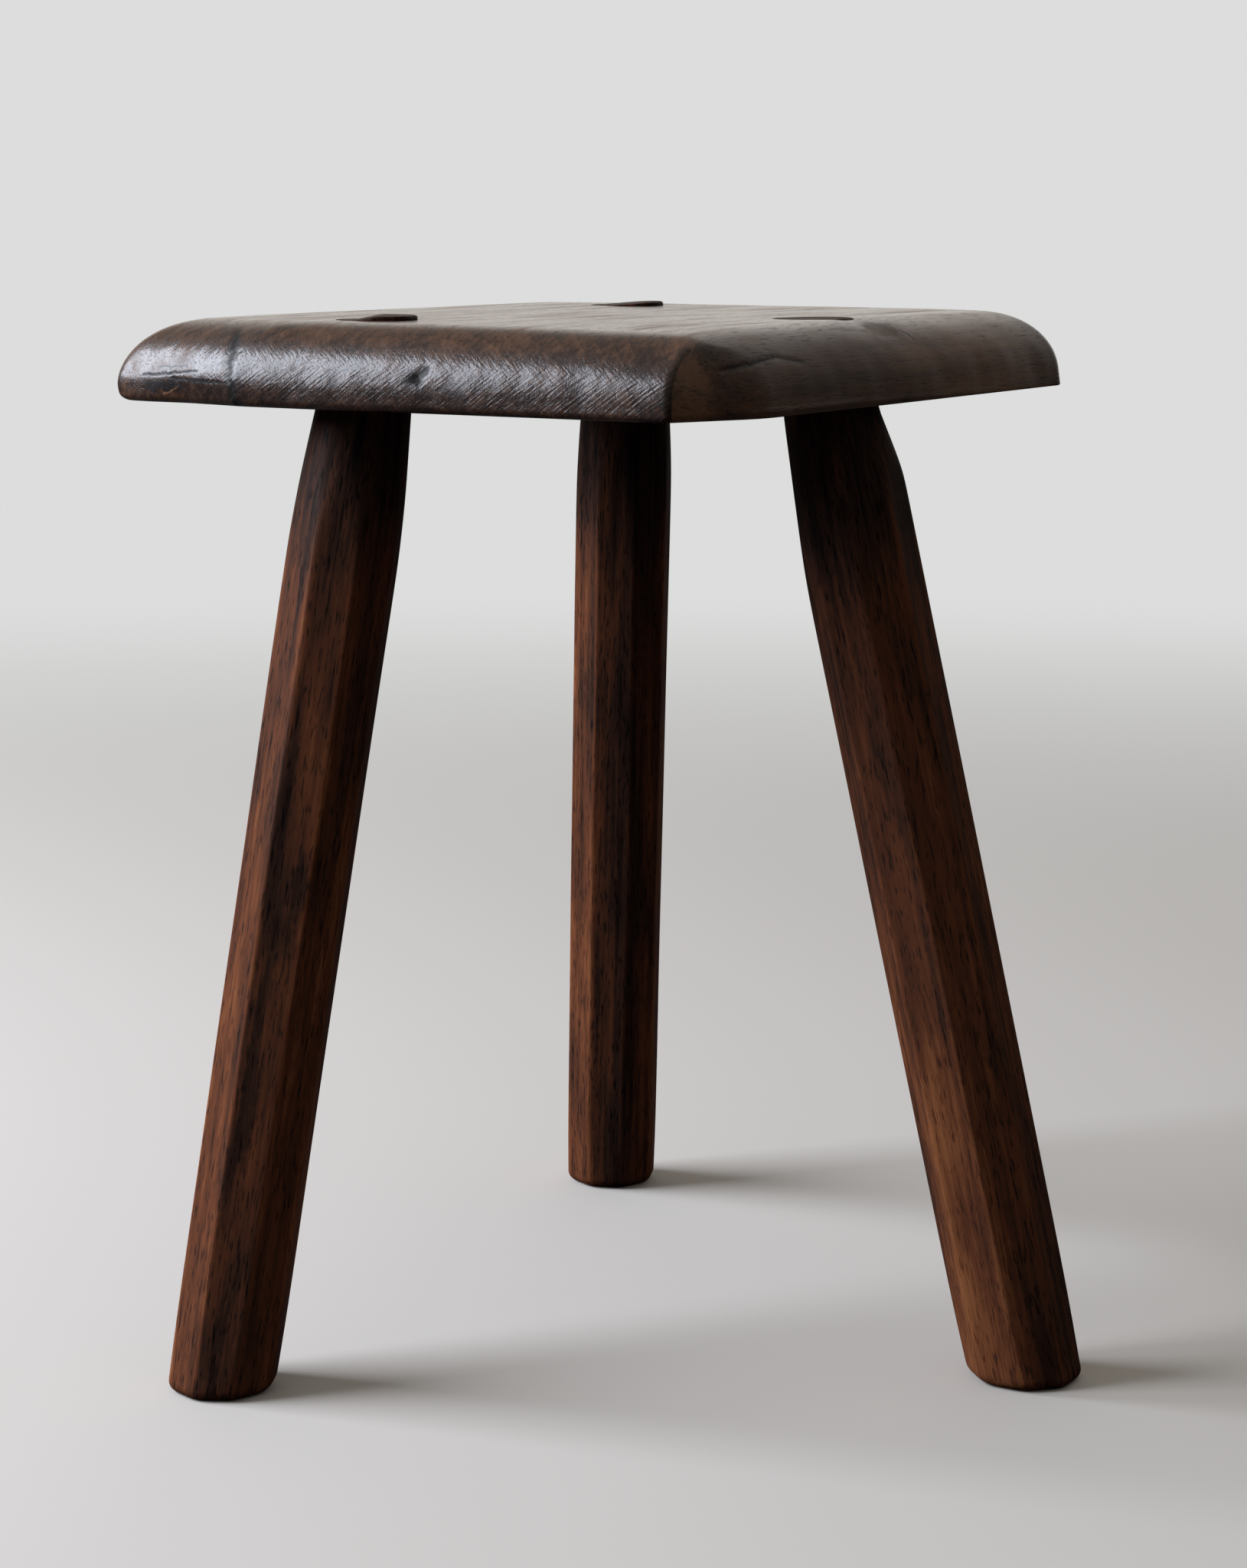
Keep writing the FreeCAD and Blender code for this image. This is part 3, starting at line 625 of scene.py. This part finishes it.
# Seat: stained hardwood, filed and scraped by hand and waxed. To the eye it is near black-brown with
# a satin glaze: pale where it lies flat to the light, a long highlight along the filed front that
# the file marks and open pores break up, and dull in the crease, crack, pits and saw cut.
# Places on the seat are given in its grain's frame: across, down from the top, and along the grain
seat = make_seat()
carve(seat, [make_mortise_cutter(leg) for leg in LEGS.values()])
seat_wood = stained_wood(
    "stained_hardwood_filed_scraped_and_waxed",
    place=(0, 0, SEAT_TOP), turn=(-math.pi / 2, 0, 0), pith=(-30, 95), ring=3.4, stops=SEAT_BROWNS,
    contrast=(0.8, 0.6, 0.12, 0.2), polish=(0.34, 0.44, 0.33, 0.9, 0.17),
    marks=[
        ((-20.4, 15.6, -119.6), (4.2, 3.4, 6.0), -0.7, 0.9),
        ((-17.8, 13.2, -118.6), (2.4, 2.0, 6.0), -0.5, 0.7),
        ((-118.0, 20.0, -113.0), (15.0, 2.8, 8.0), -0.4, 0.6),
        # Darker and duller low on the front by the sawn corner
        ((62.0, 23.5, -121.0), (11.0, 5.5, 9.0), -0.1, 0.85),
        ((71.0, 11.0, -110.5), (8.0, 7.0, 8.0), 0.2, 0.0),
        # Paler on the right side near the front: painted light on a side that faces away from the lamp
        ((79.0, 16.0, -80.0), (12.0, 18.0, 30.0), 0.06, 0.3),
        ((69.0, 3.0, 7.0), (10.0, 5.5, 18.0), -0.12, 0.6),
        # Paler and less waxed along the right side and towards its rear end: partly a paler patch in the
        # wood, partly painted light on a side that faces away from the lamp
        ((79.0, 12.0, 0.0), (16.0, 26.0, 150.0), 0.08, 0.5),
        ((78.0, 12.0, 55.0), (24.0, 32.0, 72.0), 0.34, 0.1),
    ],
    cracks=[
        ((74.8, 11.4, -101.7), (75.6, 10.0, -90.0), 1.1, -0.45, (0.15, 1, 1)),
        ((75.6, 10.0, -90.0), (74.6, 8.6, -74.6), 1.2, -0.5, (0.15, 1, 1)),
        ((74.6, 8.6, -74.6), (76.0, 10.8, -57.4), 0.8, -0.3, (0.15, 1, 1)),
        ((69.8, 3.9, 17.4), (72.9, 6.5, 20.0), 0.9, -0.5, (0.3, 1, 1)),
        ((-126.8, 17.3, -112.1), (-102.7, 15.3, -116.3), 1.0, -0.55, (1, 1, 0.06)),
        ((-120.4, 14.8, -112.6), (-107.1, 13.7, -114.8), 0.7, -0.4, (1, 1, 0.06)),
        ((-113.3, 18.0, -114.9), (-91.5, 18.4, -119.4), 1.0, -0.5, (1, 1, 0.06)),
        ((-117.4, 23.0, -114.7), (-111.3, 20.2, -115.7), 0.6, 1.3, (1, 1, 0.06)),
    ],
    painted={"creased": -0.55, "sawn": 0.42, "filed": -0.15},
)
finish_piece(seat, "seat", seat_wood)

# Stains, nicks and wear on each leg, and painted shade and light on single flats of the rear and
# right legs, placed from its axis at the seat top
LEG_STAINS_AND_PAINTED_LIGHT = {
    "left": [
        ((11.2, -13.0, -174.0), (5.0, 5.0, 13.0), -0.2, 0.0),
        ((8.2, -14.5, -191.0), (5.0, 5.0, 13.0), -0.2, 0.0),
        ((6.0, -15.6, -212.0), (5.0, 5.0, 18.0), -0.2, 0.0),
        ((6.0, -15.7, -243.0), (4.0, 4.0, 24.0), -0.2, 0.0),
        ((4.0, -16.2, -270.0), (5.0, 5.0, 24.0), -0.2, 0.0),
        ((8.0, -14.0, -312.0), (13.0, 10.0, 40.0), -0.13, 0.0),
    ],
    # Rear leg: darker down its middle flat, partly dark streaks in the wood, partly painted shade on a
    # flat that faces down and away from the lamp
    "rear": [((9.0, -12.5, -245.0), (13.0, 12.0, 170.0), -0.28, 0.0)],
    "right": [
        # Right leg: painted light low on the flat towards the lamp, and painted shade on the flats turned
        # away from it
        ((-4.0, -17.0, -310.0), (18.0, 12.0, 130.0), 0.18, 0.0),
        ((16.0, -5.0, -310.0), (11.0, 14.0, 130.0), -0.2, 0.0),
    ],
}
for seed, (side, leg) in enumerate(LEGS.items(), start=1):
    piece = make_leg(f"leg_{side}_shaft", leg, seed)
    wedge = make_slab(f"wedge_{side}_slip", leg, 0.0)
    whole = bpy.data.objects.new("whole_leg", piece.data.copy())
    bpy.context.scene.collection.objects.link(whole)
    carve(wedge, [whole], "INTERSECT")
    carve(piece, [make_slab("saw_cut", leg, KERF_GAP)])
    base, _, turn = leg_frame(leg)
    # Leg: stained hardwood, drawn with a knife along its flats and thinly waxed. To the eye it is red
    # brown in long streaks and short dark pores, almost without shine, with painted shade under the
    # seat, and paler along its worn arrises
    wood = stained_wood(
        f"stained_hardwood_drawknifed_and_waxed_{side}",
        place=base, turn=turn, pith=(-26 + 9 * seed, 21 - 4 * seed), ring=2.6, stops=LEG_BROWNS,
        contrast=(1.15, 0.7, 0.1, 0.3), polish=(0.5, 0.64, 0.05, 0.03, 0.3),
        marks=[
            # Painted shade under the seat, partly the wood's own darker tone there
            ((0, 0, -20), (70, 70, 80), -0.28, 0.0),
            # Lighter towards the foot
            ((0, 0, -340), (90, 90, 220), 0.1, 0.0),
            *LEG_STAINS_AND_PAINTED_LIGHT[side],
        ],
        painted={"worn": 0.15},
    )
    finish_piece(piece, f"leg_{side}", wood)
    # Wedge: stained hardwood, sawn off across its end grain. To the eye it is a darker, duller stripe
    # across the leg's end, because end grain drinks the stain
    wedge_wood = stained_wood(
        f"stained_hardwood_end_grain_sawn_{side}",
        place=base, turn=turn, pith=(40, 15), ring=1.8, stops=END_BROWNS,
        contrast=(0.6, 0.4, 0.1, 0.1), polish=(0.5, 0.7, 0.3, 0.2, 0.3),
    )
    finish_piece(wedge, f"wedge_{side}", wedge_wood)

# Floor: a wide pale disc that turns into the backdrop's own colour away from the stool. It is matt
# paint: to the eye pale and flat, with the stool's soft shadow. Its bounce is dimmer than it looks,
# so that the undersides stay dark
FLOOR_SIDES = 64
FLOOR_RADII = (400.0, 1500.0, 5000.0, 30000.0)
FLOOR_BOUNCE, FLOOR_SEEN, BACKDROP = "#464444", "#f2ede5", "#dcdddc"
angle = np.linspace(0, 2 * np.pi, FLOOR_SIDES + 1)[:-1]
spread = np.array(FLOOR_RADII)[:, None]
disc = np.stack([spread * np.cos(angle), spread * np.sin(angle), 0 * spread * angle], axis=-1)
mesh = bpy.data.meshes.new("floor")
points = np.concatenate([[(0, 0, 0)], disc.reshape(-1, 3)]) * MM
index = np.arange(spread.size * FLOOR_SIDES).reshape(spread.size, FLOOR_SIDES) + 1
after = np.roll(index, -1, axis=1)
centre_fan = np.stack([np.zeros(FLOOR_SIDES, int), index[0], after[0]], axis=-1)
bands = np.stack([index[:-1], index[1:], after[1:], after[:-1]], axis=-1).reshape(-1, 4)
mesh.from_pydata(points.tolist(), [], centre_fan.tolist() + bands.tolist())
floor = bpy.data.objects.new("floor", mesh)
bpy.context.scene.collection.objects.link(floor)
paint = bpy.data.materials.new("matt_pale_floor")
paint.use_nodes = True
tree = paint.node_tree
tree.nodes.clear()
seen = add(tree, "ShaderNodeLightPath").outputs["Is Camera Ray"]
spot = add(tree, "ShaderNodeTexCoord").outputs["Object"]
away = add(tree, VECTOR, {0: spot}, operation="LENGTH").outputs["Value"]
fade = add(tree, RANGE, {"Value": away, 1: 0.5, 2: 2.2}, interpolation_type="SMOOTHSTEP").outputs[0]
fade = add(tree, MATH, {0: fade, 1: seen}, operation="MULTIPLY").outputs[0]
tint = add(tree, "ShaderNodeMix", {
    "Factor": seen, "A": linear(FLOOR_BOUNCE), "B": linear(FLOOR_SEEN),
}, data_type="RGBA")
matt = add(tree, "ShaderNodeBsdfDiffuse", {"Color": tint.outputs["Result"]}).outputs[0]
glow = add(tree, "ShaderNodeEmission", {"Color": linear(BACKDROP)}).outputs[0]
blend = add(tree, "ShaderNodeMixShader", {0: fade, 1: matt, 2: glow}).outputs[0]
add(tree, "ShaderNodeOutputMaterial", {"Surface": blend})
mesh.materials.append(paint)

# World: the backdrop's colour where it is seen; as light, a pale glow from behind in a dim surround
world = bpy.data.worlds.new("studio")
bpy.context.scene.world = world
world.use_nodes = True
tree = world.node_tree
tree.nodes.clear()
seen = add(tree, "ShaderNodeLightPath").outputs["Is Camera Ray"]
aim = add(tree, "ShaderNodeTexCoord").outputs["Generated"]
behind = (-math.sin(YAW), math.cos(YAW), 0.0)
behind = add(tree, VECTOR, {0: aim, 1: behind}, operation="DOT_PRODUCT").outputs["Value"]
glow_behind = add(tree, RANGE, {"Value": behind, 1: 0.6, 2: 0.88, 3: 0.0, 4: 0.7}).outputs[0]
rise = add(tree, "ShaderNodeSeparateXYZ", {0: aim}).outputs["Z"]
low = add(tree, RANGE, {"Value": rise, 1: 0.35, 2: 0.6, 3: 1.0, 4: 0.0}).outputs[0]
glow_behind = add(tree, MATH, {0: glow_behind, 1: low}, operation="MULTIPLY").outputs[0]
surround = add(tree, RANGE, {"Value": rise, 1: 0.1, 2: 1.0, 3: 0.05, 4: 0.28}).outputs[0]
strength = add(tree, MATH, {0: glow_behind, 1: surround}, operation="ADD").outputs[0]
light = add(tree, "ShaderNodeBackground", {"Color": linear("#fdf7f0"), "Strength": strength}).outputs[0]
shown = add(tree, "ShaderNodeBackground", {"Color": linear(BACKDROP)}).outputs[0]
mixed = add(tree, "ShaderNodeMixShader", {0: seen, 1: light, 2: shown}).outputs[0]
add(tree, "ShaderNodeOutputWorld", {"Surface": mixed})

# Camera at the photo's angle, without depth of field
camera = bpy.data.objects.new("camera", bpy.data.cameras.new("camera"))
camera.data.lens = LENS
camera.data.sensor_width = 36.0
camera.location = [c * MM for c in CAMERA_AT]
camera.rotation_euler = (math.pi / 2 - PITCH, 0, YAW)
bpy.context.scene.collection.objects.link(camera)
bpy.context.scene.camera = camera


def soft_lamp(name, bearing, elevation, distance, size, power, colour):
    """A wide and tall area lamp that faces the middle of the stool. Bearing is from the camera's side
    of the stool, in degrees, and grows towards the camera's left."""
    aim = Vector((0, 0, 0.2))
    turn = YAW - math.pi / 2 - math.radians(bearing)
    level = math.radians(elevation)
    out = Vector((math.cos(turn) * math.cos(level), math.sin(turn) * math.cos(level), math.sin(level)))
    light = bpy.data.lights.new(name, "AREA")
    light.shape = "RECTANGLE"
    light.size, light.size_y = size
    light.energy = power
    light.color = linear(colour)[:3]
    lamp = bpy.data.objects.new(name, light)
    lamp.location = aim + out * distance
    lamp.rotation_euler = (-out).to_track_quat("-Z", "Y").to_euler()
    bpy.context.scene.collection.objects.link(lamp)


soft_lamp(
    "window", bearing=89.5, elevation=29.5, distance=1.9, size=(1.3, 1.25), power=45.0, colour="#ecf2ff",
)

bpy.context.scene.view_settings.view_transform = "Standard"
